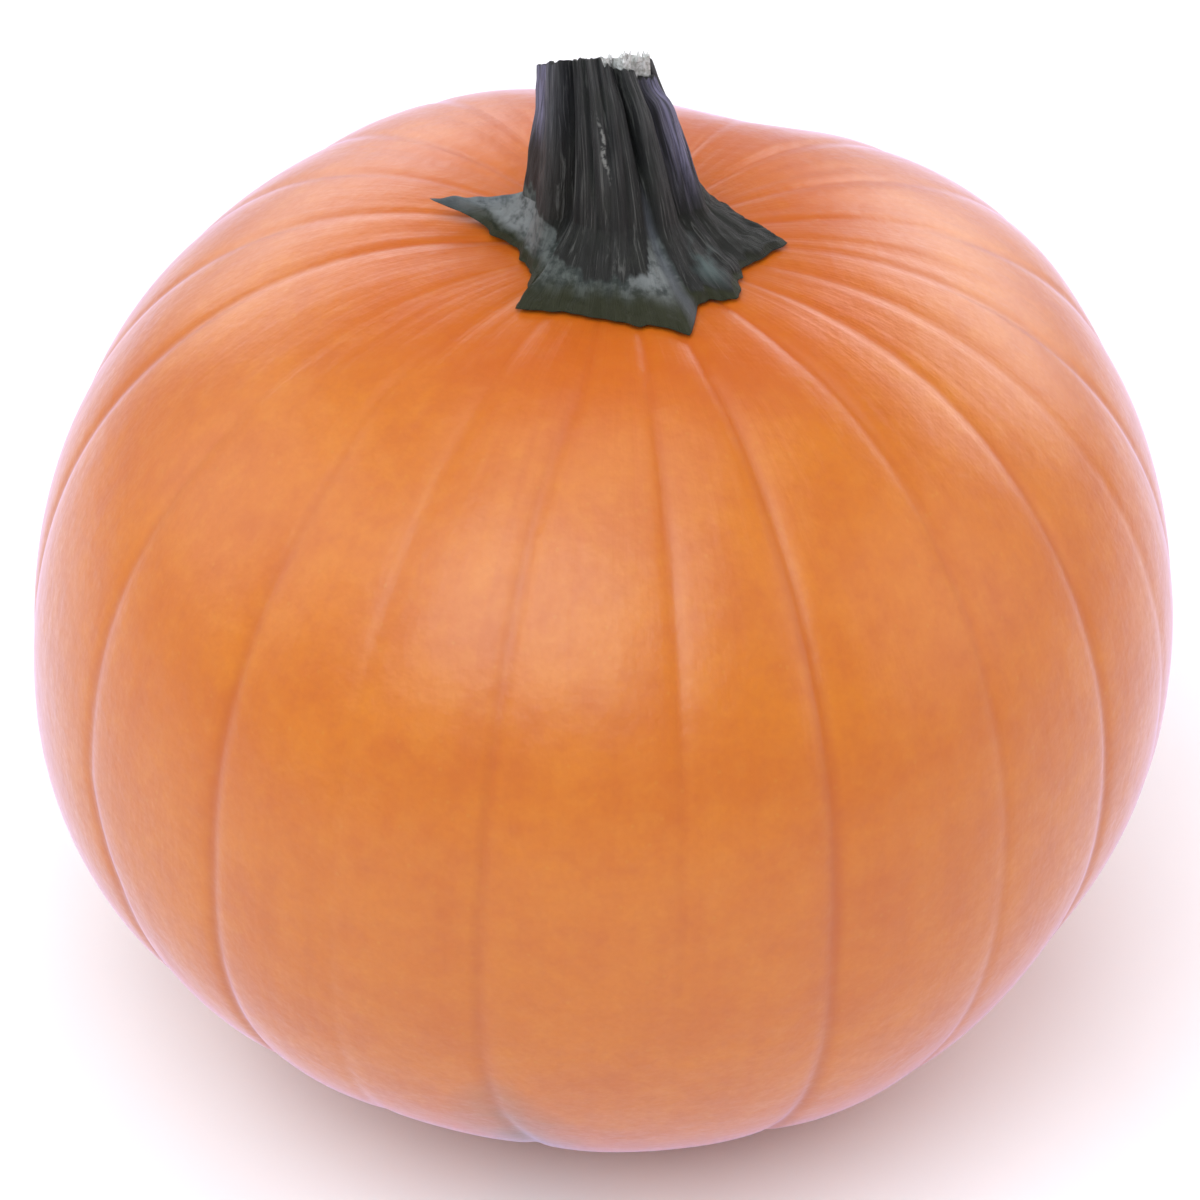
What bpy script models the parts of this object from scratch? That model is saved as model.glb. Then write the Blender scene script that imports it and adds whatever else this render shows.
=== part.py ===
"""A whole ripe pumpkin: its ribbed body, and the dry cut stem that stands in the hollow of its crown.

Units are metres and +Z is up. The origin is on the ground, under the middle of the body's box.
An azimuth is in degrees, 0 at the front (-Y) and growing towards +X. A polar angle is in degrees,
0 at the stem end and 180 at the blossom end. Both are the fruit's own, from before it leans.
"""

import math

import bmesh
import bpy
from mathutils import Matrix, Vector

# The body
WAIST_RADIUS = 0.140
HALF_HEIGHT = 0.85 * WAIST_RADIUS
FULLNESS = 0.9  # 1 is an ellipse, and less is squarer at the shoulders
CROWN_HOLLOW = (0.010, 0.050)  # depth and radius of the hollow round the stem
BLOSSOM_HOLLOW = (0.011, 0.035)  # the same at the blossom end
LEAN = 1.9  # degrees that the stem end tips towards +X
FLAT_DEPTH = 0.0035  # how far the fruit's own weight has pressed its lowest ribs flat

# Each furrow between two ribs: its azimuth, and its strength from 0 to 1
FURROWS = (
    (-84.5, 0.9), (-61.0, 0.8), (-41.4, 1.0), (-26.4, 0.3), (-11.8, 0.8), (7.0, 0.4), (22.0, 1.0),
    (42.4, 0.8), (59.5, 0.8), (74.0, 0.4), (87.0, 0.8), (104.0, 0.9), (121.0, 0.7), (138.0, 1.0),
    (156.0, 0.6), (174.0, 0.9), (191.0, 0.7), (208.0, 1.0), (225.0, 0.8), (242.0, 0.7), (259.0, 0.9),
)
CREASE = (0.0012, 0.0030)  # depth and half width of the sharp line along a furrow
VALLEY = (0.0013, 0.0100)  # the same of the soft valley that it lies in
NARROWEST_RING = 0.45 * WAIST_RADIUS  # towards the ends a furrow keeps its angle, not its width
WAIST_FADE = 0.45  # how much of its depth a furrow loses at the waist
POLE_FADE = 0.6  # how fast it dies out at the very ends: 0 is not at all

# Where the fruit grew fuller (+) or flatter (-): azimuth, polar angle, spread on a unit ball, height
SWELLINGS = (
    (121, 54, 0.32, 0.0042),
    (113, 62, 0.14, -0.0014),
    (-125, 53, 0.38, -0.0010),
    (-152, 41, 0.28, 0.0032),
    (159, 38, 0.16, -0.0030),
    (-79, 106, 0.35, 0.0026),
    (-40, 137, 0.30, -0.0018),
    (43, 134, 0.20, 0.0012),
    (68, 115, 0.28, -0.0036),
)

# The stem, measured from the middle of the crown
STEM_FOOT_RADIUS = 0.0232
STEM_TOP_RADIUS = 0.0128
STEM_HEIGHT = 0.0435  # to the middle of the cut
STEM_DRIFT = (-0.0065, 0.0090)  # how far the cut end stands off to -X and to the back
DRIFT_BEND = 1.5  # 1 is a straight slanting column, and more bends towards its top
CUT_SLOPE = (0.10, -0.62)  # how far the cut rises for each metre towards +X and towards the back
FILLET_HEIGHT = 0.0120  # of the curve from the flared base into the column
EDGE_THICKNESS = 0.0022  # of the flared base's rim, above the rind
ROOT_DEPTH = 0.0030  # how far the uncut stem reaches into the rind
ROOT_REACH = 0.96  # of the rim's reach, where the uncut underside turns up
ROOT_LIFT = 2.0  # how far the underside rises for each metre that the rim curls up
TIP_THINNING = 0.5  # how much thinner the rim gets for each metre that it curls up
THIN_EDGE = 0.0006  # the least that a curled tip keeps above or below its edge
SKIRT = 0.35  # 0 is a flank that lies flat on the rind at its rim, and 1 is a straight slope
TIP_POINT = 1.7  # 1 is a straight-sided lobe, and more is a sharper tip

# Places along the flared base's rim: azimuth, reach from the stem's middle, and how far the rim has
# curled up off the rind there
FLARE = (
    (-99, 0.0465, 0.0054), (-85, 0.0305, 0.0012), (-72, 0.0252, 0.0), (-52, 0.0265, 0.0),
    (-41, 0.0325, 0.0), (-36.5, 0.0412, 0.0), (-15, 0.0362, 0.0), (8, 0.0392, 0.0),
    (21.5, 0.0450, 0.0), (34, 0.0345, 0.0), (46, 0.0388, 0.0), (64, 0.0322, 0.0),
    (88, 0.0395, 0.0), (118, 0.0285, 0.0), (142, 0.0275, 0.0), (165, 0.0400, 0.0),
    (187, 0.0290, 0.0), (204, 0.0370, 0.0), (232, 0.0275, 0.0),
)
RIDGES = (-96, -54, -4, 33, 74, 116, 158, 204, 232)  # azimuths of the ridges up the column
RIDGE_HEIGHT = 0.0022
RIDGE_SPREAD = 13.0  # degrees
RIDGE_MIDDLE = 0.5  # of a ridge's height, where the column's plain radius runs

# How finely each surface is divided
STRIPS_PER_RIB = 4
BODY_BANDS = 36
STEM_STRIPS = 72
COLUMN_BANDS = 6
FLARE_BANDS = 4
GAP = 0.0004  # between the stem and the rind

# Colours, in linear RGB
RIND_COLOUR = (0.730, 0.205, 0.046)
STEM_COLOUR = (0.052, 0.055, 0.058)


def hump(distance, spread):
    """1 at the middle, falling smoothly to nothing a few spreads away."""
    return math.exp(-((distance / spread) ** 2))


def turn(start, end):
    """The shorter way round from one azimuth to another, in degrees."""
    return (end - start + 180.0) % 360.0 - 180.0


def direction(azimuth, polar):
    """The unit vector that these two angles give."""
    flat, steep = math.radians(azimuth), math.radians(polar)
    return Vector((
        math.sin(steep) * math.sin(flat), -math.sin(steep) * math.cos(flat), math.cos(steep)
    ))


def furrow_depth(azimuth, polar, ring):
    """How deep the furrows cut here, on a ring of the body with this radius."""
    near_end = abs(math.cos(math.radians(polar)))
    along = (1 - WAIST_FADE * (1 - near_end)) * math.sin(math.radians(polar)) ** POLE_FADE
    total = 0.0
    for place, strength in FURROWS:
        across = abs(math.radians(turn(place, azimuth))) * max(ring, NARROWEST_RING)
        for depth, half_width in (CREASE, VALLEY):
            total += strength * depth * hump(across, half_width)
    return along * total


def rind(azimuth, polar):
    """A point of the upright fruit's surface, measured from the middle of its waist."""
    steep = math.radians(polar)
    end = math.copysign(1.0, math.cos(steep))
    ring = WAIST_RADIUS * max(math.sin(steep), 0.0) ** FULLNESS
    hollow, hollow_radius = CROWN_HOLLOW if end > 0 else BLOSSOM_HOLLOW
    height = end * (
        HALF_HEIGHT * abs(math.cos(steep)) ** FULLNESS - hollow * hump(ring, hollow_radius)
    )
    out = direction(azimuth, polar)
    swell = -furrow_depth(azimuth, polar, ring)
    for place, down, spread, rise in SWELLINGS:
        swell += rise * hump((out - direction(place, down)).length, spread)
    level = direction(azimuth, 90) * ring
    return level + Vector((0, 0, height)) + out * swell


def crown_height(azimuth, reach):
    """The rind's height beside the stem, this far out from the stem's middle."""
    polar = math.degrees(math.asin((reach / WAIST_RADIUS) ** (1 / FULLNESS)))
    return rind(azimuth, polar).z


def flare_rim(azimuth):
    """The flared base's reach and curl at this azimuth, sharp where it reaches out and soft between."""
    for index, (start, start_reach, start_curl) in enumerate(FLARE):
        end, end_reach, end_curl = FLARE[(index + 1) % len(FLARE)]
        passed = (azimuth - start) % 360.0
        width = (end - start) % 360.0
        if passed < width:
            break
    share = passed / width
    if start_reach > end_reach:
        weight = 1 - (1 - share) ** TIP_POINT
    else:
        weight = share ** TIP_POINT
    return (
        start_reach + (end_reach - start_reach) * weight,
        start_curl + (end_curl - start_curl) * weight,
    )


def column_point(azimuth, rise):
    """A point of the column's side, at this share of the way from the base to the cut."""
    radius = STEM_FOOT_RADIUS + (STEM_TOP_RADIUS - STEM_FOOT_RADIUS) * rise
    ridge = max(hump(turn(place, azimuth), RIDGE_SPREAD) for place in RIDGES)
    radius += RIDGE_HEIGHT * (ridge - RIDGE_MIDDLE)
    point = direction(azimuth, 90) * radius
    slope = CUT_SLOPE[0] * point.x + CUT_SLOPE[1] * point.y
    point.z = CROWN.z + rise * (STEM_HEIGHT + slope)
    point.x += STEM_DRIFT[0] * rise ** DRIFT_BEND
    point.y += STEM_DRIFT[1] * rise ** DRIFT_BEND
    return point


def stem_profile(azimuth):
    """The stem's outline at one azimuth, from the middle of its underside to the middle of its cut."""
    reach, curl = flare_rim(azimuth)
    rim = direction(azimuth, 90) * reach
    rim.z = crown_height(azimuth, reach) + curl
    bottom = Vector((0, 0, CROWN.z - ROOT_DEPTH))
    under = max(ROOT_DEPTH - ROOT_LIFT * curl, THIN_EDGE)
    root = Vector((rim.x * ROOT_REACH, rim.y * ROOT_REACH, rim.z - under))
    edge = rim + Vector((0, 0, max(EDGE_THICKNESS - TIP_THINNING * curl, THIN_EDGE)))
    foot_rise = FILLET_HEIGHT / STEM_HEIGHT
    foot = column_point(azimuth, foot_rise)
    outline = [bottom, bottom.lerp(root, 0.5), root]
    for band in range(FLARE_BANDS):
        quarter = math.radians(90.0 * band / FLARE_BANDS)
        inward = math.sin(quarter)
        upward = SKIRT * inward + (1 - SKIRT) * (1 - math.cos(quarter))
        outline.append(Vector((
            edge.x + (foot.x - edge.x) * inward,
            edge.y + (foot.y - edge.y) * inward,
            edge.z + (foot.z - edge.z) * upward,
        )))
    for band in range(COLUMN_BANDS + 1):
        outline.append(column_point(azimuth, foot_rise + (1 - foot_rise) * band / COLUMN_BANDS))
    outline += [outline[-1].lerp(CUT_MIDDLE, 0.5), CUT_MIDDLE]
    return outline


def material(name, colour, roughness):
    made = bpy.data.materials.new(name)
    made.use_nodes = True
    shader = made.node_tree.nodes["Principled BSDF"]
    shader.inputs["Base Color"].default_value = (*colour, 1.0)
    shader.inputs["Roughness"].default_value = roughness
    shader.inputs["Metallic"].default_value = 0.0
    made.diffuse_color = (*colour, 1.0)
    return made


def ball(name, strips, bands, place, made_of, group):
    """A UV sphere whose points are moved: place(strip, band) says where each one goes."""
    shape = bmesh.new()
    bmesh.ops.create_uvsphere(shape, u_segments=strips, v_segments=bands, radius=1.0)
    for vertex in shape.verts:
        down = math.acos(max(-1.0, min(1.0, vertex.co.z)))
        round_way = math.atan2(vertex.co.x, -vertex.co.y) % math.tau
        strip = round(round_way / math.tau * strips) % strips
        vertex.co = place(strip, round(down / math.pi * bands))
    bmesh.ops.recalc_face_normals(shape, faces=shape.faces)
    mesh = bpy.data.meshes.new(name)
    shape.to_mesh(mesh)
    shape.free()
    mesh.shade_smooth()
    mesh.materials.append(made_of)
    made = bpy.data.objects.new(name, mesh)
    group.objects.link(made)
    return made


def body_place(strip, band):
    """A strip edge lies in every furrow, and the rest share the rib between two furrows evenly."""
    rib, step = divmod(strip, STRIPS_PER_RIB)
    start, end = FURROWS[rib][0], FURROWS[(rib + 1) % len(FURROWS)][0]
    azimuth = start + ((end - start) % 360.0) * step / STRIPS_PER_RIB
    return rind(azimuth, 180.0 * band / BODY_BANDS)


def stem_place(strip, band):
    outline = stem_profile(360.0 * strip / STEM_STRIPS)
    return outline[len(outline) - 1 - band]


for old in list(bpy.data.objects):
    bpy.data.objects.remove(old, do_unlink=True)

parts = bpy.data.collections.new("pumpkin")
cutters = bpy.data.collections.new("cutters")
bpy.context.scene.collection.children.link(parts)
bpy.context.scene.collection.children.link(cutters)

CROWN = rind(0, 0)
CUT_MIDDLE = CROWN + Vector((*STEM_DRIFT, STEM_HEIGHT))

body = ball(
    "pumpkin_body", STRIPS_PER_RIB * len(FURROWS), BODY_BANDS, body_place,
    material("waxy_rind", RIND_COLOUR, 0.40), parts,
)
stem = ball(
    "stem", STEM_STRIPS, len(stem_profile(0)) - 1, stem_place,
    material("dry_corky_stem", STEM_COLOUR, 0.75), parts,
)

# The fruit leans, settles on its lowest ribs, and is centred over the origin.
lean = Matrix.Rotation(math.radians(LEAN), 4, "Y")
body.data.transform(lean)
ground = min(vertex.co.z for vertex in body.data.vertices) + FLAT_DEPTH
for vertex in body.data.vertices:
    vertex.co.z = max(vertex.co.z, ground)
middle = [
    (min(values) + max(values)) / 2
    for values in zip(*((vertex.co.x, vertex.co.y) for vertex in body.data.vertices))
]
settle = Matrix.Translation((-middle[0], -middle[1], -ground))
body.data.transform(settle)
stem.data.transform(settle @ lean)

# The stem's underside takes the shape of the rind below it.
rind_cutter = bpy.data.objects.new("rind_cutter", body.data.copy())
rind_cutter.data.transform(Matrix.Translation((0, 0, GAP)))
rind_cutter.hide_render = True
rind_cutter.display_type = "WIRE"
cutters.objects.link(rind_cutter)
seat = stem.modifiers.new("seat_on_rind", "BOOLEAN")
seat.operation = "DIFFERENCE"
seat.solver = "EXACT"
seat.object = rind_cutter
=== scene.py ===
# %% [markdown]
# # A ripe pumpkin
#
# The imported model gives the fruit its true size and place: a body and a stem, each one plain solid.
# This lesson grows the finished surface over them. It makes the ribbed rind with its creases and
# puckers, the blossom scar underneath, the dark corky stem with its pointed, flared base, and the
# torn pale pith at the cut. Each step says what it is on a real pumpkin, and why it is made this way.

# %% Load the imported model
import math

import bmesh
import bpy
import numpy as np
from mathutils import Matrix, Vector, noise
from mathutils.bvhtree import BVHTree


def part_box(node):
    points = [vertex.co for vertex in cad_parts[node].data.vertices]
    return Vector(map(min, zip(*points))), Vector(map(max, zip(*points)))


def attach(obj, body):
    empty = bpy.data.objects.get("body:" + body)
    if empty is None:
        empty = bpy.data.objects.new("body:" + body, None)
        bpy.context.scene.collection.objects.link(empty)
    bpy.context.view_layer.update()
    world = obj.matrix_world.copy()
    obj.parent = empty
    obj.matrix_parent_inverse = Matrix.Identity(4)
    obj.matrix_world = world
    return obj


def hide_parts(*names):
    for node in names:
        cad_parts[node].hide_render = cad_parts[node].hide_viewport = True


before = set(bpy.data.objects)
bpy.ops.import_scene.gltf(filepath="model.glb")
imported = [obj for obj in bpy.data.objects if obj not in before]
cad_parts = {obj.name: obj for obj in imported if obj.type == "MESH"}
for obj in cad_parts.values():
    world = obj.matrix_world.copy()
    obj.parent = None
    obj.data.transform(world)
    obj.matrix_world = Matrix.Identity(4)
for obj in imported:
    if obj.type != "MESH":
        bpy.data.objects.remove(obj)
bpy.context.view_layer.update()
BODY = "root"
body_low, body_high = (np.array(corner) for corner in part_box("pumpkin_body"))
print("nodes:", sorted(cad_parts), "body box mm:", np.round((body_high - body_low) * 1000, 1))

# %% [markdown]
# ## The camera
#
# It comes first, so that each piece can be looked at as it is made. A long lens from 1.3 m away,
# 36 degrees above the table, shows the crown and the flank with little perspective. It aims just
# beside the middle of the waist, which leaves the stem its headroom.

# %% Place the camera
CAMERA_DISTANCE = 1.3
CAMERA_HEIGHT_ANGLE = math.radians(36.4)
PICTURE_WIDTH_AT_WAIST = 0.2979  # how much of the world the picture spans at the waist
SENSOR_WIDTH = 0.036
WAIST_SHARE = 0.4970  # the waist's height as a share of the body's
AIM_BESIDE = (-0.0004, 0.0029)  # to the right of the waist's middle, and above it in the picture

aim_up = Vector((0, math.sin(CAMERA_HEIGHT_ANGLE), math.cos(CAMERA_HEIGHT_ANGLE)))
away = Vector((0, -math.cos(CAMERA_HEIGHT_ANGLE), math.sin(CAMERA_HEIGHT_ANGLE)))
aim = Vector((AIM_BESIDE[0], 0, WAIST_SHARE * body_high[2])) + aim_up * AIM_BESIDE[1]

camera_data = bpy.data.cameras.new("camera")
camera_data.sensor_width = SENSOR_WIDTH * 1000
camera_data.lens = 1000 * SENSOR_WIDTH * CAMERA_DISTANCE / PICTURE_WIDTH_AT_WAIST
camera = bpy.data.objects.new("camera", camera_data)
camera.location = aim + away * CAMERA_DISTANCE
camera.rotation_euler = (math.radians(90) - CAMERA_HEIGHT_ANGLE, 0, 0)
bpy.context.scene.collection.objects.link(camera)
bpy.context.scene.camera = camera
print(f"lens {camera_data.lens:.0f} mm")

# %% [markdown]
# ## Angles and humps
#
# Everything on a pumpkin is laid out round its axis, so places on it are given by an azimuth, in
# degrees from the front towards +X, and a polar angle, from 0 at the stem to 180 at the blossom end.
# Every dent and swelling is a smooth hump, 1 in its middle and fading outwards. Numpy works on all
# of a mesh's points at once, which keeps a hundred wrinkles quick.

# %% Helpers for angles
def hump(distance, spread):
    return np.exp(-np.square(distance / spread))


def turn(start, end):
    """The shorter way round from one azimuth to another, in degrees."""
    return (end - start + 180.0) % 360.0 - 180.0


def direction(azimuth, polar):
    flat, steep = np.radians(azimuth), np.radians(polar)
    return np.stack([np.sin(steep) * np.sin(flat), -np.sin(steep) * np.cos(flat), np.cos(steep)], -1)


def ease(values, low, high):
    """0 below low, 1 above high, and a soft S between them."""
    share = np.clip((values - low) / (high - low), 0.0, 1.0)
    return share * share * (3 - 2 * share)


# %% [markdown]
# ## The shape of the fruit
#
# A pumpkin's section is a squashed ellipse, fuller at the shoulders, with a hollow at each end. Where
# it lay in the field it grew flatter, and elsewhere it bulged. Furrows run from end to end where the
# walls between the seed chambers hold the rind back. Each is a soft valley with a sharp crease along
# it. The sizes follow the solid model, so the fine surface lies on it.

# %% The fruit's own dimensions
WAIST_RADIUS = 0.140
HALF_HEIGHT = 0.85 * WAIST_RADIUS
FULLNESS = 0.9
CROWN_HOLLOW = (0.010, 0.050)  # depth and radius
BLOSSOM_HOLLOW = (0.011, 0.035)
LEAN = 1.9  # degrees towards +X

# Each furrow's azimuth, and its strength at the shoulder, at the waist and below it
FURROWS = (
    (-84.5, 0.6, 1.0, 1.0), (-61.0, 0.2, 0.9, 1.2), (-41.4, 0.38, 1.05, 1.35), (-26.4, 0.32, 0.25, 0.4),
    (-11.8, 0.62, 0.70, 0.75), (7.0, 0.62, 0.42, 0.0), (22.0, 0.85, 1.10, 1.05), (42.4, 0.62, 0.45, 0.8),
    (59.5, 0.5, 0.85, 0.9), (74.0, 0.3, 0.3, 0.4), (87.0, 0.55, 0.7, 0.8), (104.0, 0.45, 0.9, 0.9),
    (121.0, 0.3, 0.7, 0.7), (138.0, 0.45, 1.0, 1.0), (156.0, 0.3, 0.6, 0.6), (174.0, 0.45, 0.9, 0.9),
    (191.0, 0.3, 0.7, 0.7), (208.0, 0.45, 1.0, 1.0), (225.0, 0.4, 0.8, 0.8), (242.0, 0.4, 0.7, 0.7),
    (259.0, 0.45, 0.9, 0.9),
)
STRENGTH_AT = (35.0, 85.0, 130.0)  # the polar angles of those strengths
CREASE = (0.0011, 0.0022)  # depth and half width
VALLEY = (0.0010, 0.0085)

# Furrows that wander: by how many degrees, at which polar angles
WANDER_AT = (21.0, 27.0, 33.0, 42.0, 70.0, 90.0, 102.0, 115.0, 127.0)
WANDER = {
    -61.0: (0.0, 0.0, 0.0, 0.0, 0.0, 0.5, 4.0, 5.0, 5.0),
    -41.4: (-1.1, -2.1, -2.1, 0.0, 0.4, 0.9, 0.9, 1.0, 1.0),
    -11.8: (4.5, 2.6, 1.3, 0.3, 0.0, 0.0, 0.2, 1.5, 4.5),
    22.0: (-1.5, -0.6, -0.5, -0.5, 0.2, 0.4, 1.0, 1.2, 1.2),
    42.4: (-0.4, 0.6, 0.6, 0.5, -0.4, -0.4, -0.4, 0.0, 0.0),
    59.5: (1.0, 1.0, 1.0, 0.7, -0.5, -0.5, -0.5, 0.0, 0.0),
}
NARROWEST_RING = 0.45 * WAIST_RADIUS
WAIST_FADE = 0.45  # how much of its depth a furrow loses at the waist
POLE_FADE = 0.6  # how fast it dies out at the very ends

# Fuller (+) or flatter (-) places: azimuth, polar angle, spread on a unit ball, height
SWELLINGS = (
    (121, 54, 0.32, 0.0042), (113, 62, 0.14, -0.0014), (-125, 53, 0.38, -0.0010),
    (-152, 41, 0.28, 0.0032), (159, 38, 0.16, -0.0030), (-79, 106, 0.35, 0.0026),
    (-40, 137, 0.30, -0.0018), (43, 134, 0.20, 0.0012), (68, 115, 0.28, -0.0036),
)


def furrow_line(place, polar):
    """The azimuth of a furrow, which wanders as it goes down the fruit."""
    return place + np.interp(polar, WANDER_AT, WANDER.get(place, (0.0,) * len(WANDER_AT)))


def furrow_parts(azimuth, polar, ring):
    """How much of a crease, and how much of a valley, there is at each place."""
    crease, valley = np.zeros_like(ring), np.zeros_like(ring)
    for place, *strengths in FURROWS:
        strength = np.interp(polar, STRENGTH_AT, strengths)
        turned = np.abs(np.radians(turn(furrow_line(place, polar), azimuth)))
        across = turned * np.maximum(ring, NARROWEST_RING)
        crease += strength * hump(across, CREASE[1])
        valley += strength * hump(across, VALLEY[1])
    return crease, valley


def rind_points(azimuth, polar, puckers=None):
    """Points of the upright fruit's surface, measured from the middle of its waist."""
    steep = np.radians(polar)
    end = np.where(polar < 90, 1.0, -1.0)
    ring = WAIST_RADIUS * np.maximum(np.sin(steep), 0.0) ** FULLNESS
    crown_hollow = CROWN_HOLLOW[0] * hump(ring, CROWN_HOLLOW[1])
    blossom_hollow = BLOSSOM_HOLLOW[0] * hump(ring, BLOSSOM_HOLLOW[1])
    hollow = np.where(end > 0, crown_hollow, blossom_hollow)
    height = end * (HALF_HEIGHT * np.abs(np.cos(steep)) ** FULLNESS - hollow)
    out = direction(azimuth, polar)
    crease, valley = furrow_parts(azimuth, polar, ring)
    along = (1 - WAIST_FADE * (1 - np.abs(np.cos(steep)))) * np.maximum(np.sin(steep), 0.0) ** POLE_FADE
    swell = -along * (CREASE[0] * crease + VALLEY[0] * valley)
    for place, down, spread, rise in SWELLINGS:
        swell = swell + rise * hump(np.linalg.norm(out - direction(place, down), axis=-1), spread)
    if puckers is not None:
        swell = swell + puckers(azimuth, polar, ring)
    points = direction(azimuth, np.full_like(polar, 90.0)) * ring[..., None]
    points[..., 2] += height
    return points + out * swell[..., None]


print("furrows:", len(FURROWS))

# %% [markdown]
# ## Puckers and waves
#
# Round the stem the rind is gathered like cloth: about a hundred fine pleats start under the stem's
# base and die out over the shoulder. Larger, slower waves keep the ribs from looking turned on a lathe.
# The pleats are drawn from a seeded generator, so they fall in the same places every time.

# %% Draw the pleats
PLEATS = 110
PLEAT_START = (9.0, 15.0)  # polar angles between which the pleats grow to their full depth
FRONT_TIGHTNESS, FRONT_SPREAD = 0.6, 42.0  # the front is drawn tighter: by how much, over what azimuth
draw = np.random.default_rng(11)
pleat_azimuth = (np.arange(PLEATS) + draw.uniform(-0.45, 0.45, PLEATS)) * 360.0 / PLEATS
pleat_end = draw.uniform(28.0, 56.0, PLEATS)  # the polar angle where each one has faded
pleat_depth = draw.uniform(0.00006, 0.00025, PLEATS)
pleat_depth = pleat_depth * (1 - FRONT_TIGHTNESS * hump(turn(0, pleat_azimuth), FRONT_SPREAD))
pleat_width = draw.uniform(1.2, 2.4, PLEATS)  # degrees
pleat_drift = draw.uniform(-2.5, 2.5, PLEATS)  # degrees that it wanders on its way down
WAVES = ((3, 0.5, 0.00060), (7, 2.1, 0.00035), (11, 4.0, 0.00020))  # count round, phase, height
WAVE_SLANT = 1.7  # how far the waves twist round on their way down


def pleats_and_waves(azimuth, polar, ring):
    total = np.zeros_like(ring)
    for place, end, depth, width, drift in zip(
        pleat_azimuth, pleat_end, pleat_depth, pleat_width, pleat_drift
    ):
        fade = ease(polar, *PLEAT_START) * (1 - ease(polar, 0.55 * end, end))
        path = place + drift * (polar / 45.0) ** 2
        total -= depth * fade * hump(turn(path, azimuth), width * (1 + polar / 60.0))
    steep = np.radians(polar)
    for count, phase, height in WAVES:
        total += height * np.sin(np.radians(azimuth) * count + phase + steep * WAVE_SLANT) * np.sin(steep)
    return total


print("pleats:", PLEATS)

# %% [markdown]
# ## The ball that becomes the rind
#
# A UV sphere has what a pumpkin needs: meridians and a pole at each end. Its points are moved by the
# shape above. Its meridians are bunched towards the furrows, because a crease is only a few
# millimetres wide and the middle of a rib is smooth. The fruit then leans, and is set down where the
# solid body is, and its lowest ribs are pressed flat on the table.

# %% Build the rind
STRIPS_PER_RIB = 20
RIND_BANDS = 228
BUNCHING = 0.60  # 0 spaces the meridians evenly


def ball(name, strips, bands):
    """A closed UV sphere as a mesh, with each point's strip and band number."""
    shape = bmesh.new()
    bmesh.ops.create_uvsphere(shape, u_segments=strips, v_segments=bands, radius=1.0)
    mesh = bpy.data.meshes.new(name)
    shape.to_mesh(mesh)
    shape.free()
    points = np.empty(len(mesh.vertices) * 3)
    mesh.vertices.foreach_get("co", points)
    points = points.reshape(-1, 3)
    down = np.arccos(np.clip(points[:, 2], -1, 1))
    round_way = np.arctan2(points[:, 0], -points[:, 1]) % math.tau
    band = np.rint(down / math.pi * bands).astype(int)
    strip = np.rint(round_way / math.tau * strips).astype(int) % strips
    return mesh, strip, band


def finish_piece(mesh, points):
    """Moves the mesh's points, turns its faces outwards and shows it riding on the body."""
    mesh.vertices.foreach_set("co", np.ascontiguousarray(points, np.float32).ravel())
    shape = bmesh.new()
    shape.from_mesh(mesh)
    bmesh.ops.recalc_face_normals(shape, faces=shape.faces)
    shape.to_mesh(mesh)
    shape.free()
    mesh.shade_smooth()
    piece = bpy.data.objects.new(mesh.name, mesh)
    bpy.context.scene.collection.objects.link(piece)
    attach(piece, BODY)
    return piece


def add_attribute(mesh, name, values):
    mesh.attributes.new(name, "FLOAT", "POINT").data.foreach_set("value", values.astype(np.float32))


rind_mesh, strip, band = ball("rind", STRIPS_PER_RIB * len(FURROWS), RIND_BANDS)
rib, step = np.divmod(strip, STRIPS_PER_RIB)
share = step / STRIPS_PER_RIB
share = share - BUNCHING * np.sin(math.tau * share) / math.tau
rind_polar = 180.0 * band / RIND_BANDS
lines = np.array([furrow_line(place, rind_polar) for place, *_ in FURROWS])
here, following = lines[rib, np.arange(len(rib))], lines[(rib + 1) % len(FURROWS), np.arange(len(rib))]
rind_azimuth = here + ((following - here) % 360.0) * share

lean = np.array(Matrix.Rotation(math.radians(LEAN), 3, "Y"))
rind = rind_points(rind_azimuth, rind_polar, pleats_and_waves) @ lean.T
centre = (rind[:, :2].min(0) + rind[:, :2].max(0)) / 2
SETTLE = np.array([*((body_low + body_high)[:2] / 2 - centre), body_high[2] - rind[:, 2].max()])
rind = rind + SETTLE
rind[:, 2] = np.maximum(rind[:, 2], body_low[2])
print("set down by", np.round(SETTLE * 1000, 2), "mm; waist height", round(SETTLE[2] * 1000, 1))

# %% [markdown]
# ## Marks that the finish will need
#
# Most of the finish follows the growth of the fruit, so the mesh carries numbers for it: how deep in a
# crease each point is, which also darkens the crease as painted shade, how near the corky blossom scar,
# how near the stem, where a deeper orange is painted as shade round the stem, and how near the grey
# scuff low in one furrow, where the fruit lay in wet soil. A vector that runs round with the azimuth
# and down with the polar angle makes streaks that follow the ribs and have no seam.

# %% Mark the rind and show it
SCAR = (168.0, 174.0)  # polar angles where the blossom scar starts and is whole
CROWN_SHADE = (19.0, 36.0)  # and where the painted shade round the stem, a deeper orange, is whole and has faded
SCUFFED_FURROW = -11.8
SCUFF_WIDTH = 3.8  # degrees
SCUFF_OFFSET = 0.5  # degrees that its middle lies beside the furrow
SCUFF_DOWN = (102.0, 121.0)  # polar angles where it starts and is whole
SCUFF_FADES = (132.0, 150.0)  # and where it fades and is gone
STREAKS_ROUND = 26.0
STREAKS_DOWN = 1.6

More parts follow.
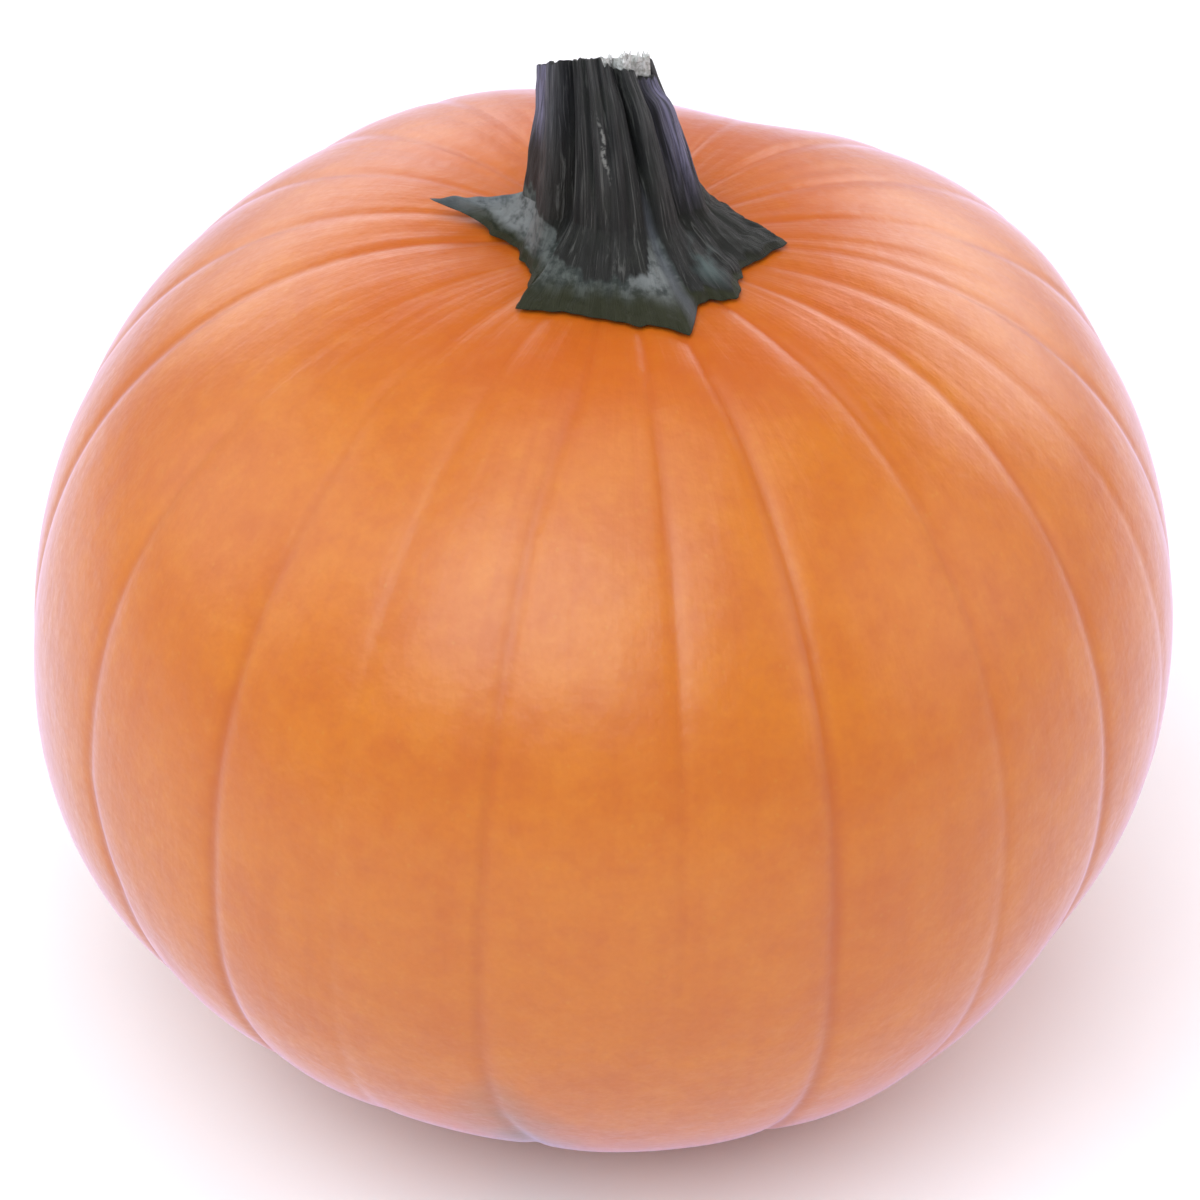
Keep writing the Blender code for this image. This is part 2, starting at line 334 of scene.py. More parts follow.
ring = WAIST_RADIUS * np.sin(np.radians(rind_polar)) ** FULLNESS
# the crease depth also paints a redder, duller line down each crease as shade
add_attribute(rind_mesh, "crease", furrow_parts(rind_azimuth, rind_polar, ring)[0])
add_attribute(rind_mesh, "scar", ease(rind_polar, *SCAR))
# painted shade: a deeper orange round the stem, where the crown lies in shade
add_attribute(rind_mesh, "crown_shade", 1 - ease(rind_polar, *CROWN_SHADE))
scuff_line = furrow_line(SCUFFED_FURROW, rind_polar) + SCUFF_OFFSET
scuff = hump(turn(scuff_line, rind_azimuth), SCUFF_WIDTH * (0.6 + ease(rind_polar, *SCUFF_DOWN)))
scuff = scuff * ease(rind_polar, *SCUFF_DOWN) * (1 - ease(rind_polar, *SCUFF_FADES))
add_attribute(rind_mesh, "scuff", scuff)
flow = direction(rind_azimuth, np.full_like(rind_polar, 90.0)) * STREAKS_ROUND
flow[:, 2] = np.radians(rind_polar) * STREAKS_DOWN
rind_mesh.attributes.new("flow", "FLOAT_VECTOR", "POINT").data.foreach_set(
    "vector", np.ascontiguousarray(flow, np.float32).ravel()
)
rind_piece = finish_piece(rind_mesh, rind)
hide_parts("pumpkin_body")

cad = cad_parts["pumpkin_body"].data
cad_tree = BVHTree.FromPolygons([v.co for v in cad.vertices], [f.vertices for f in cad.polygons])
gaps = [cad_tree.find_nearest(Vector(point))[3] for point in rind[::97]]
print(f"rind triangles {sum(len(f.vertices) - 2 for f in rind_mesh.polygons)},")
print(f"distance to the solid: mean {1000 * np.mean(gaps):.2f} mm, most {1000 * max(gaps):.2f} mm")

# %% [markdown]
# ## The stem's outline
#
# The dry stem is a ridged column that flares into pointed lobes where it grips the fruit. Its outline
# is worked out at each azimuth: in along the rind, out to the lobe's rim, up the concave flank, up
# the column, and over the cut. The number `up` says how far along a point is: -1 at the rim, 0 where
# the flare meets the column, 1 at the cut.

# %% The stem's own dimensions
STEM_FOOT_RADIUS = 0.0232
STEM_TOP_RADIUS = 0.0128
STEM_HEIGHT = 0.0435
STEM_DRIFT = (-0.0065, 0.0090)
DRIFT_BEND = 1.5
CUT_SLOPE = (0.10, -0.62)
FILLET_HEIGHT = 0.0120
EDGE_THICKNESS = 0.0017
TIP_THINNING = 0.3
THIN_EDGE = 0.0006
SKIRT = 0.35
TIP_POINT = 1.7
FLARE_TURN = 70.0  # degrees of the flank's curve, which ends on the slope of the column
SPIKE, SPIKE_POINT, SPIKE_SKIRT = -99, 3.6, 0.12  # the thin curled lobe is sharper and lies flatter

# Along the rim: azimuth, reach from the stem's middle, and how far it has curled up off the rind
FLARE = (
    (-99, 0.0465, 0.0054), (-85, 0.0305, 0.0012), (-72, 0.0252, 0.0), (-52, 0.0265, 0.0),
    (-41, 0.0325, 0.0), (-36.5, 0.0412, 0.0), (-15, 0.0362, 0.0), (8, 0.0392, 0.0),
    (21.5, 0.0450, 0.0), (34, 0.0345, 0.0), (46, 0.0388, 0.0), (64, 0.0322, 0.0),
    (88, 0.0395, 0.0), (118, 0.0285, 0.0), (142, 0.0275, 0.0), (165, 0.0400, 0.0),
    (187, 0.0290, 0.0), (204, 0.0370, 0.0), (232, 0.0275, 0.0),
)
RIDGES = (-96, -54, -4, 33, 74, 116, 158, 204, 232)
RIDGE_HEIGHT = 0.0022
RIDGE_SPREAD = 13.0
RIDGE_MIDDLE = 0.5

# Where the dark bark ends, as `up` against azimuth, and how far its edge drops at the torn side
BARK_EDGE = (
    (-110, 0.12), (-88, 0.10), (-62, 0.0), (-49, -0.02), (-40, -0.36), (-29, -0.46), (-14, -0.60),
    (1, -0.54), (14, -0.50), (20, -0.10), (27, -0.16), (32, -0.90), (110, -0.92), (150, -0.4),
    (250, 0.12),
)
BARK_STEP = 0.0005  # how proud the bark stands of the flare
TORN_FROM, TORN_TO = 1.0, 94.0  # azimuths between which the bark tore away
TORN_DROP = 0.0052

flare_place = np.array([place for place, *_ in FLARE], float)
flare_reach = np.array([reach for _, reach, _ in FLARE])
flare_curl = np.array([curl for *_, curl in FLARE])
CROWN = rind_points(np.zeros(1), np.zeros(1), pleats_and_waves)[0, 2]


def rough(azimuth, up, count, stretch, seed):
    """Smooth seamless noise from -1 to 1, `count` lumps to the turn, drawn out along the stem."""
    flat = np.radians(azimuth)
    round_way = count / math.tau
    return np.array([
        noise.noise((round_way * math.sin(a), round_way * math.cos(a), u * stretch + seed))
        for a, u in zip(flat, up)
    ])


def flare_rim(azimuth):
    start = flare_place[0]
    azimuth = (azimuth - start) % 360.0 + start
    index = np.searchsorted(flare_place, azimuth, side="right") - 1
    after = (index + 1) % len(FLARE)
    share = (azimuth - flare_place[index]) / ((flare_place[after] - flare_place[index]) % 360.0)
    beside_spike = (flare_place[index] == SPIKE) | (flare_place[after] == SPIKE)
    point = np.where(beside_spike, SPIKE_POINT, TIP_POINT)
    falling = flare_reach[index] > flare_reach[after]
    weight = np.where(falling, 1 - (1 - share) ** point, share ** point)
    return (
        flare_reach[index] + (flare_reach[after] - flare_reach[index]) * weight,
        flare_curl[index] + (flare_curl[after] - flare_curl[index]) * weight,
    )


def rind_height(azimuth, reach):
    polar = np.degrees(np.arcsin((reach / WAIST_RADIUS) ** (1 / FULLNESS)))
    return rind_points(azimuth, polar, pleats_and_waves)[:, 2]


print("lobes:", sum(reach > 0.038 for reach in flare_reach), "crown height", round(CROWN * 1000, 1), "mm")

# %% [markdown]
# ## Ridges, grooves and cracks of the bark
#
# A stem dries hard and fluted, with finer ridges between the main ones and splits where it shrank.
# They run up the column and wander a little. As in the rind, each is a hump across the azimuth, here
# with a place where it starts and one where it ends.

# %% Draw the fine relief
FINE_RIDGES, CRACKS = 30, 34
draw = np.random.default_rng(5)
# Each one's azimuth, height (a crack's is below 0), half width, wander, and `up` at its two ends
fine = [
    (draw.uniform(0, 360), draw.uniform(0.00020, 0.00085), draw.uniform(2.6, 6.5), draw.uniform(-5, 5),
     draw.uniform(-1.0, 0.2), draw.uniform(0.6, 1.3))
    for _ in range(FINE_RIDGES)
] + [
    (draw.uniform(0, 360), draw.uniform(-0.0013, -0.0005), draw.uniform(1.5, 2.8), draw.uniform(-6, 6),
     draw.uniform(-0.5, 0.6), draw.uniform(0.5, 1.4))
    for _ in range(CRACKS)
]
DEEP_GROOVES = (  # azimuth, depth, half width in degrees
    (-37, 0.0022, 4.5), (21, 0.0022, 4.0), (49, 0.0024, 5.0), (-72, 0.0014, 4.0), (98, 0.0020, 4.0),
)
LUMPS = ((0.00030, 150, 6.0, 7.0), (0.00045, 50, 4.0, 3.0))  # height, count round, stretch, seed


def relief(azimuth, up):
    """How far the bark stands out of the plain column."""
    total = np.zeros_like(azimuth)
    for place, height, width, wander, start, end in fine:
        path = place + wander * np.sin(2.2 * up + place)
        part_of_way = ease(up, start, start + 0.3) * (1 - ease(up, end - 0.3, end))
        total += height * hump(turn(path, azimuth), width) * part_of_way
    for place, depth, width in DEEP_GROOVES:
        path = place + 3.0 * (1 - up) * np.sign(place)
        total -= depth * hump(turn(path, azimuth), width) * ease(up, -0.5, 0.1)
    for height, count, stretch, seed in LUMPS:
        total += height * rough(azimuth, up, count, stretch, seed)
    return total


print("fine ridges and cracks:", len(fine))

# %% [markdown]
# ## Build the stem
#
# One closed ball is moved onto the outline, as the rind was. The bands of the ball are shared out
# between the underside, the flare, the column and the cut. On the torn side the bark's edge is lower
# than the pale pith inside it, and everywhere else the pith has shrunk a little below the bark.

# %% Move the ball onto the outline
STEM_STRIPS = 340
UNDER, FLARE_BANDS, COLUMN_BANDS, CUT_BANDS = 12, 52, 104, 34
BARK_THICKNESS = 0.0013
PITH_SUNK = 0.0016
SEAT = 0.0003  # the underside lies this far into the rind, so no light passes below it
RIM_RAGGED = 0.0012  # how far the rim strays in and out
RIM_ROUNDING = 0.0006
FLARE_LUMPS = 0.0011
PITH_LUMPS = 0.0024
PITH_EDGE = 0.0022  # how far in from the bark's face the level pith starts
BARK_LIP = 0.0003  # how much the bark's cut edge is crowned

stem_mesh, strip, band = ball("stem_bark", STEM_STRIPS, UNDER + FLARE_BANDS + COLUMN_BANDS + CUT_BANDS)
place_from_below = UNDER + FLARE_BANDS + COLUMN_BANDS + CUT_BANDS - band
azimuth = 360.0 * strip / STEM_STRIPS
level = direction(azimuth, np.full_like(azimuth, 90.0))[:, :2]
foot_rise = FILLET_HEIGHT / STEM_HEIGHT

reach, curl = flare_rim(azimuth)
flat_up = np.zeros_like(azimuth)
reach = reach + RIM_RAGGED * rough(azimuth, flat_up, 80, 0, 1.5)
torn = ease(azimuth, TORN_FROM, TORN_FROM + 8) * (1 - ease(azimuth, TORN_TO - 8, TORN_TO))
ragged = rough(azimuth, flat_up, 110, 0, 9.0)
bark_drop = TORN_DROP * torn * (0.35 + 0.65 * ease(azimuth, TORN_FROM, 60))
bark_drop = bark_drop + (0.0008 + 0.0012 * torn) * ragged


def column(azimuth, rise, up):
    radius = STEM_FOOT_RADIUS + (STEM_TOP_RADIUS - STEM_FOOT_RADIUS) * rise
    ridge = np.max([hump(turn(place, azimuth), RIDGE_SPREAD) for place in RIDGES], axis=0)
    radius = radius + RIDGE_HEIGHT * (ridge - RIDGE_MIDDLE) + relief(azimuth, up)
    points = np.column_stack([level * radius[:, None], np.zeros_like(radius)])
    slope = CUT_SLOPE[0] * points[:, 0] + CUT_SLOPE[1] * points[:, 1]
    points[:, 2] = CROWN + rise * (STEM_HEIGHT + slope)
    points[:, 0] += STEM_DRIFT[0] * rise ** DRIFT_BEND
    points[:, 1] += STEM_DRIFT[1] * rise ** DRIFT_BEND
    return points


# Underside
inward = np.clip(place_from_below / UNDER, 0, 1)
under_reach = reach * 0.985 * inward
under = np.column_stack([level * under_reach[:, None], rind_height(azimuth, under_reach)])
under[:, 2] += curl * inward ** 4 - SEAT

# Flare
flare_share = np.clip((place_from_below - UNDER) / FLARE_BANDS, 0, 1)
flare_up = flare_share - 1
bend = np.radians(FLARE_TURN * flare_share)
full_bend = math.radians(FLARE_TURN)
rim = np.column_stack([level * reach[:, None], rind_height(azimuth, reach) + curl])
rim[:, 2] += np.maximum(EDGE_THICKNESS - TIP_THINNING * curl, THIN_EDGE)
foot = column(azimuth, np.full_like(azimuth, foot_rise), flat_up)
along = np.sin(bend) / math.sin(full_bend)
skirt = SKIRT + (SPIKE_SKIRT - SKIRT) * hump(turn(SPIKE, azimuth), 16.0)
upward = skirt * along + (1 - skirt) * (1 - np.cos(bend)) / (1 - math.cos(full_bend))
flare = rim + (foot - rim) * np.column_stack([along, along, upward])
rim_round = 1 - ease(flare_up, -1.0, -0.90)
flare[:, 2] -= RIM_ROUNDING * rim_round
lumps = FLARE_LUMPS * rough(azimuth, flare_up, 45, 7.0, 2.0) + 0.7 * relief(azimuth, flare_up)
flare[:, 2] += lumps * (1 - rim_round) * (-flare_up)

# Column
column_up = np.clip((place_from_below - UNDER - FLARE_BANDS) / COLUMN_BANDS, 0, 1)
shaft = column(azimuth, foot_rise + (1 - foot_rise) * column_up, column_up)
shaft[:, 2] -= bark_drop * ease(column_up, 0.62, 1.0)

# Cut: over the bark's edge, then up or down to the pith, then in to the middle
over = np.clip((place_from_below - UNDER - FLARE_BANDS - COLUMN_BANDS) / CUT_BANDS, 0, 1)
top = column(azimuth, np.ones_like(azimuth), np.ones_like(azimuth))
top_middle = np.array([STEM_DRIFT[0], STEM_DRIFT[1], CROWN + STEM_HEIGHT])
radial = top[:, :2] - top_middle[:2]
radius = np.linalg.norm(radial, axis=1)
inset = np.interp(over, (0, 0.10, 0.22, 0.34, 0.5), (0, 0.0004, BARK_THICKNESS, 0.0016, PITH_EDGE))
left = np.where(over < 0.5, 1 - inset / radius, (1 - PITH_EDGE / radius) * (1 - ease(over, 0.5, 1.0)))
cut = np.column_stack([top_middle[:2] + radial * left[:, None], np.zeros_like(radius)])
offset = cut[:, :2] - top_middle[:2]
plane = CROWN + STEM_HEIGHT + CUT_SLOPE[0] * offset[:, 0] + CUT_SLOPE[1] * offset[:, 1]
pith_rough = PITH_LUMPS * rough(azimuth, over * 2.0, 26, 4.0, 20.0)
pith = plane - PITH_SUNK * (1 - torn) + pith_rough * ease(over, 0.3, 0.5) * (0.3 + 0.7 * torn)
bark_top = top[:, 2] - bark_drop
wall = ease(over, 0.22, 0.42)
cut[:, 2] = bark_top * (1 - wall) + pith * wall + BARK_LIP * np.sin(np.pi * np.clip(over / 0.2, 0, 1))

region = np.select(
    [place_from_below < UNDER, place_from_below < UNDER + FLARE_BANDS,
     place_from_below <= UNDER + FLARE_BANDS + COLUMN_BANDS],
    [0, 1, 2], 3,
)
stem = np.choose(region[:, None], [under, flare, shaft, cut])
up = np.choose(region, [np.full_like(azimuth, -1.0), flare_up, column_up, np.ones_like(azimuth)])

# The bark's lower edge is ragged, and it stands proud of the flare
bark_places, bark_ups = np.array(BARK_EDGE).T
wrapped = (azimuth + 110.0) % 360.0 - 110.0
edge_up = np.interp(wrapped, bark_places, bark_ups)
edge_up = edge_up + 0.10 * rough(azimuth, flat_up, 95, 0, 4.0)
bark = ease(up - edge_up, -0.02, 0.03) * (region != 0)
out_flat = np.column_stack([level * 0.6, np.full_like(azimuth, 0.8)])
stem += out_flat * (BARK_STEP * bark * (1 - ease(up, -0.35, 0.0)))[:, None] * (region == 1)[:, None]

stem = stem @ lean.T + SETTLE
print("stem points:", len(stem), "top at", round(stem[:, 2].max() * 1000, 1), "mm")

# %% [markdown]
# ## Mark the stem's skins
#
# Three skins meet on the stem: nearly black bark on the column, grey, dusty skin on the flare, and
# pale, spongy pith in the cut. The flare's thin rim has stayed a dark olive. Each has its own number
# on the mesh, so one material can blend them along ragged edges. Smaller marks say where the skin is
# scratched, brown, teal or dusty, where a violet sheen is painted on the column's sides as a
# reflection, and where painted shade darkens the side away from the main light. The relief's number
# paints the ridges lighter and the grooves and cracks darker, as light and shade. Each is a hump
# round an azimuth, in degrees, that starts and ends along `up`.

# %% Mark and show the stem
GRAIN_ROUND = 24.0
GRAIN_ALONG = 1.6

on_flare, on_column, on_cut = region == 1, region == 2, region == 3
pith_mark = ease(over, 0.20, 0.26) * on_cut
tip_mark = hump(turn(-104, azimuth), 8.0) * ~on_cut * (up < -0.2)
rim_wave = 0.10 * rough(azimuth, flat_up, 60, 0, 12.0)
rim_mark = (1 - ease(up + rim_wave, -0.86, -0.58)) * ~on_cut * (1 - tip_mark)
ridge_humps = [hump(turn(place, azimuth), RIDGE_SPREAD) for place in RIDGES]
ridge_height = RIDGE_HEIGHT * np.max(ridge_humps, axis=0)
# painted light and shade: the bark lighter on raised ridges, darker in grooves and cracks
ridge_light_and_groove_shade = ease(relief(azimuth, up) + 0.6 * ridge_height, -0.0012, 0.0022)
scratch_path = -5.0 + 9 * (0.5 - up) + 1.2 * np.sin(26 * up)
scratch = hump(turn(scratch_path, azimuth), 1.9) * hump(up - 0.47, 0.19)
# painted reflection: a violet sheen on the column's left and right sides
left_painted_sheen = hump(turn(-82, azimuth), 22.0) * ease(up, 0.35, 0.75)
right_painted_sheen = hump(turn(70, azimuth), 11.0) * ease(up, -0.1, 0.4)
brown = hump(turn(-78, azimuth), 24.0) * (1 - ease(up, 0.35, 0.65))
low_teal = hump(turn(48, azimuth), 9.0) * hump(up + 0.56, 0.24)
high_teal = 0.8 * hump(turn(82, azimuth), 8.0) * hump(up + 0.05, 0.12)
streak = hump(turn(23 - 4 * up, azimuth), 3.6) * (1 - ease(up, 0.0, 0.35)) * (region != 0)
left_dust = hump(turn(-84, azimuth), 34.0) * (1 - hump(up + 1, 0.16))
front_dust = 0.8 * hump(turn(15, azimuth), 13.0) * hump(up + 0.5, 0.28)
# painted shade: the flare and lower column darkened on the side away from the main light
painted_side_shade = ease(azimuth, 58.0, 74.0) * (1 - ease(azimuth, 130.0, 170.0)) * (1 - ease(up, 0.0, 0.5))
stem_marks = {
    "relief": ridge_light_and_groove_shade, "bark": bark, "pith": pith_mark, "rim": rim_mark, "tip": tip_mark,
    "under": (region == 0).astype(float), "up": up, "scratch": scratch * on_column,
    "painted_violet_sheen": (left_painted_sheen + right_painted_sheen) * on_column, "brown": brown * on_column,
    "teal": low_teal + high_teal, "streak": streak, "dust": (left_dust + front_dust) * on_flare,
    "painted_side_shade": painted_side_shade * ~on_cut,
}
for name, values in stem_marks.items():
    add_attribute(stem_mesh, name, values)
grain = direction(azimuth, np.full_like(azimuth, 90.0)) * GRAIN_ROUND
grain[:, 2] = up * GRAIN_ALONG
stem_mesh.attributes.new("grain", "FLOAT_VECTOR", "POINT").data.foreach_set(
    "vector", np.ascontiguousarray(grain, np.float32).ravel()
)
stem_piece = finish_piece(stem_mesh, stem)
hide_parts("stem")
print("stem triangles:", sum(len(f.vertices) - 2 for f in stem_mesh.polygons))

# %% [markdown]
# ## Torn fibres
#
# Where the stem broke, stringy fibres stand up out of the pith. Each grows ring by ring from a small
# circle, gets thinner towards its tip, bends to one side, and is set down on the torn edge. They are
# one piece, because they are one thing to whoever picks the part up.

# %% Build the fibres
FIBRES = 18
FIBRE_SEGMENTS = 6
FIBRE_SIDES = 7
FIBRE_ROOT = 0.0004  # how deep each one starts in the pith
FIBRE_TAPER = 0.85
draw = np.random.default_rng(23)
fibre_shape = bmesh.new()
torn_strips = np.nonzero((region == 3) & (over > 0.36) & (over < 0.60) & (torn > 0.5))[0]
for _ in range(FIBRES):
    foot_point = Vector(stem[draw.choice(torn_strips)]) - Vector((0, 0, FIBRE_ROOT))
    length, thickness = draw.uniform(0.0010, 0.0026), draw.uniform(0.00035, 0.00080)
    tilt, heading, bend = draw.uniform(0, 0.6), draw.uniform(0, math.tau), draw.uniform(-0.35, 0.35)
    turned = Matrix.Rotation(heading, 3, "Z") @ Matrix.Rotation(tilt, 3, "X")
    circle = bmesh.ops.create_circle(
        fibre_shape, cap_ends=True, segments=FIBRE_SIDES, radius=thickness
    )["verts"]
    ring_edges = list({edge for vertex in circle for edge in vertex.link_edges})
    layers = [circle]
    for step in range(FIBRE_SEGMENTS):
        grown = bmesh.ops.extrude_edge_only(fibre_shape, edges=ring_edges)["geom"]
        layers.append([item for item in grown if isinstance(item, bmesh.types.BMVert)])
        ring_edges = [
            item for item in grown
            if isinstance(item, bmesh.types.BMEdge) and all(v in layers[-1] for v in item.verts)
        ]
    bmesh.ops.contextual_create(fibre_shape, geom=ring_edges)
    for step, layer in enumerate(layers):
        height = step / FIBRE_SEGMENTS
        sideways = Vector((bend * length * height ** 2, 0, length * height))
        for vertex in layer:
            slim = vertex.co * (1 - FIBRE_TAPER * height)
            vertex.co = turned @ (slim + sideways) + foot_point
bmesh.ops.recalc_face_normals(fibre_shape, faces=fibre_shape.faces)
fibre_mesh = bpy.data.meshes.new("torn_fibres")
fibre_shape.to_mesh(fibre_mesh)
open_edges = sum(edge.is_boundary for edge in fibre_shape.edges)
fibre_shape.free()
fibre_mesh.shade_smooth()
fibre_piece = bpy.data.objects.new("torn_fibres", fibre_mesh)
bpy.context.scene.collection.objects.link(fibre_piece)
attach(fibre_piece, BODY)
print("fibres:", FIBRES, "open edges:", open_edges)

# %% [markdown]
# ## Helpers for materials
#
# Colours are written the way a paint chart gives them, as hex, and turned linear by one function.
# Another adds a node and joins it up, and a third lays tints over one another, as glazes go on a pot.
# Object coordinates are metres, so a 4 mm pattern has a scale of 1 / 0.004. The streaks follow the
# growth instead, and their own vector already says how many there are.

# %% Colour and node helpers
def linear(hex_colour):
    values = [int(hex_colour[i:i + 2], 16) / 255 for i in (0, 2, 4)]
    return (*(v / 12.92 if v <= 0.04045 else ((v + 0.055) / 1.055) ** 2.4 for v in values), 1.0)


def add(tree, kind, sockets=None, **settings):
    """Adds a node. A socket's value is either a number, a colour, or another node's output."""
    made = tree.nodes.new(kind)
    for name, value in settings.items():
        setattr(made, name, value)
    for socket, value in (sockets or {}).items():
        if isinstance(value, bpy.types.NodeSocket):
            tree.links.new(value, made.inputs[socket])
        else:
            made.inputs[socket].default_value = value
    return made


def start(name):
    made = bpy.data.materials.new(name)
    made.use_nodes = True
    made.node_tree.nodes.clear()
    return made, made.node_tree


VALUE, LOW, HIGH, AT_LOW, AT_HIGH = range(5)  # a Map Range node's sockets
MIX_SHARE, MIX_FIRST, MIX_SECOND, MIX_OUT = 0, 6, 7, 2  # a colour Mix node's sockets


def paint(tree, colour, layers):
    """Lays tints over a colour. Each layer has a mask, the two values of the mask that matter, how
    much of the tint shows at each of them, and the tint."""
    for mask, low, high, at_low, at_high, tint in layers:
        share = add(
            tree, "ShaderNodeMapRange",
            {VALUE: mask, LOW: low, HIGH: high, AT_LOW: at_low, AT_HIGH: at_high},
        ).outputs[0]
        tint = linear(tint) if isinstance(tint, str) else tint
        sockets = {MIX_SHARE: share, MIX_FIRST: colour, MIX_SECOND: tint}
        colour = add(tree, "ShaderNodeMix", sockets, data_type="RGBA").outputs[MIX_OUT]
    return colour


def break_up(tree, marks, patterns):
    """Thins marks by a pattern: which mark, the pattern, its two values, and what is left at each."""
    for name, pattern, low, high, at_low, at_high in patterns:
        left = add(
            tree, "ShaderNodeMapRange",
            {VALUE: pattern, LOW: low, HIGH: high, AT_LOW: at_low, AT_HIGH: at_high},
        ).outputs[0]
        sockets = {0: marks[name], 1: left}
        marks[name] = add(tree, "ShaderNodeMath", sockets, operation="MULTIPLY").outputs[0]


print("orange, linear:", [round(v, 3) for v in linear("B35C03")])

# %% [markdown]
# ## Waxy rind
#
# Pumpkin skin is a deep orange under a clear wax. The wax gives it a broad, soft highlight, and a
# pinkish bloom at grazing angles, which is what the coat and the sheen are for. The orange is never
# even: it has clouds two centimetres wide and blotches a quarter of that, streaks along the ribs, and
# pale pin-prick pores. A redder, duller line painted down each crease is shade, and so is the deeper
# orange painted round the stem.

# %% Make the rind material
rind_material, tree = start("waxy_rind")
place = add(tree, "ShaderNodeTexCoord").outputs["Object"]
along_ribs = add(tree, "ShaderNodeAttribute", attribute_name="flow").outputs["Vector"]
marks = {
    name: add(tree, "ShaderNodeAttribute", attribute_name=name).outputs["Fac"]
    for name in ("crease", "scuff", "crown_shade", "scar")
}
clouds, blotches, dimples, grains, streaks = (
    add(tree, "ShaderNodeTexNoise", {"Vector": where, "Scale": scale, "Detail": detail}).outputs[0]
    for where, scale, detail in (
        (place, 1 / 0.022, 4.0), (place, 1 / 0.0055, 4.0), (place, 1 / 0.0070, 3.0),
        (place, 1 / 0.0016, 3.0), (along_ribs, 1.0, 5.0),
    )
)
pores = add(
    tree, "ShaderNodeTexVoronoi", {"Vector": place, "Scale": 1 / 0.0050}, feature="F1"
).outputs["Distance"]
break_up(tree, marks, [("scuff", clouds, 0.3, 0.6, 0.4, 1.0)])
colour = paint(tree, linear("BE6102"), (
    (clouds, 0.35, 0.65, 0.0, 1.0, "C56B02"),
    (streaks, 0.45, 0.75, 0.0, 0.22, "C77308"),
    (streaks, 0.25, 0.45, 0.18, 0.0, "B15302"),
    (blotches, 0.52, 0.68, 0.0, 0.20, "CC7B18"),
    (blotches, 0.32, 0.46, 0.16, 0.0, "B15104"),
    (pores, 0.05, 0.13, 0.15, 0.0, "C28D30"),
    (grains, 0.35, 0.70, 0.0, 0.18, "B05402"),
    # painted shade: a redder, duller line down each crease
    (marks["crease"], 0.2, 1.0, 0.0, 0.45, "A94702"),
    (marks["scuff"], 0.08, 0.75, 0.0, 0.85, "766866"),
    # painted shade: a deeper orange round the stem
    (marks["crown_shade"], 0.0, 1.0, 0.0, 0.5, "BA4E01"),
    (marks["scar"], 0.0, 1.0, 0.0, 1.0, "75563A"),
))
roughness = add(
    tree, "ShaderNodeMapRange", {VALUE: grains, LOW: 0.3, HIGH: 0.7, AT_LOW: 0.34, AT_HIGH: 0.44}
).outputs[0]
# Fine grain, then the waves along the ribs, then shallow dimples, each on top of the last
bump = add(
    tree, "ShaderNodeBump", {"Height": grains, "Strength": 0.35, "Distance": 0.00010}
).outputs["Normal"]
for height, strength, distance in ((streaks, 0.28, 0.0006), (dimples, 0.6, 0.0007)):
    sockets = {"Height": height, "Strength": strength, "Distance": distance, "Normal": bump}
    bump = add(tree, "ShaderNodeBump", sockets).outputs["Normal"]
rind_shader = add(tree, "ShaderNodeBsdfPrincipled", {
    "Base Color": colour, "Roughness": roughness, "Normal": bump, "IOR": 1.45,
    "Coat Weight": 0.48, "Coat Roughness": 0.33, "Coat IOR": 1.45,
    "Sheen Weight": 0.76, "Sheen Roughness": 0.27, "Sheen Tint": linear("E6D2FA"),
    "Subsurface Weight": 0.10, "Subsurface Radius": (1.0, 0.35, 0.10), "Subsurface Scale": 0.004,
})
add(tree, "ShaderNodeOutputMaterial", {"Surface": rind_shader.outputs[0]})
rind_piece.data.materials.append(rind_material)
print("waxy_rind nodes:", len(tree.nodes))

# %% [markdown]
# ## Stem bark, dusty flare and pith
#
# Dry stem skin is dark and scarcely shines. It is streaked and flaked along the grain, with a violet
# sheen painted high on both sides as a reflection, and brown showing lower down on one of them. Its
# ridges are painted lighter and its grooves darker, as light and shade. The flare wears a dull grey
# dust that has rubbed thin in places, and a painted shade, nearly black, on its shaded side. The pith
# is pale and crumbly, with dark specks.

# %% Make the stem material
stem_material, tree = start("corky_stem")
place = add(tree, "ShaderNodeTexCoord").outputs["Object"]
along_grain = add(tree, "ShaderNodeAttribute", attribute_name="grain").outputs["Vector"]
marks = {
    name: add(tree, "ShaderNodeAttribute", attribute_name=name).outputs["Fac"] for name in stem_marks
}
streaks, patches, crumbs, mottles, flakes = (
    add(
        tree, "ShaderNodeTexNoise",
        {"Vector": where, "Scale": scale, "Detail": detail, "Roughness": harshness, "Distortion": bent},
    ).outputs[0]
    for where, scale, detail, harshness, bent in (
        (along_grain, 1.3, 6.0, 0.5, 0.0), (place, 1 / 0.007, 5.0, 0.5, 0.0),
        (place, 1 / 0.0009, 4.0, 0.5, 0.0), (place, 1 / 0.0035, 6.0, 0.65, 0.0),
        (along_grain, 0.9, 8.0, 0.72, 1.1),
    )
)
break_up(tree, marks, (
    ("painted_violet_sheen", flakes, 0.42, 0.56, 0.2, 1.0),
    ("scratch", crumbs, 0.40, 0.55, 0.25, 1.0),
    ("dust", mottles, 0.36, 0.52, 0.3, 1.0),
    ("teal", patches, 0.35, 0.55, 0.0, 1.0),
    ("painted_side_shade", patches, 0.40, 0.60, 1.0, 0.55),
))
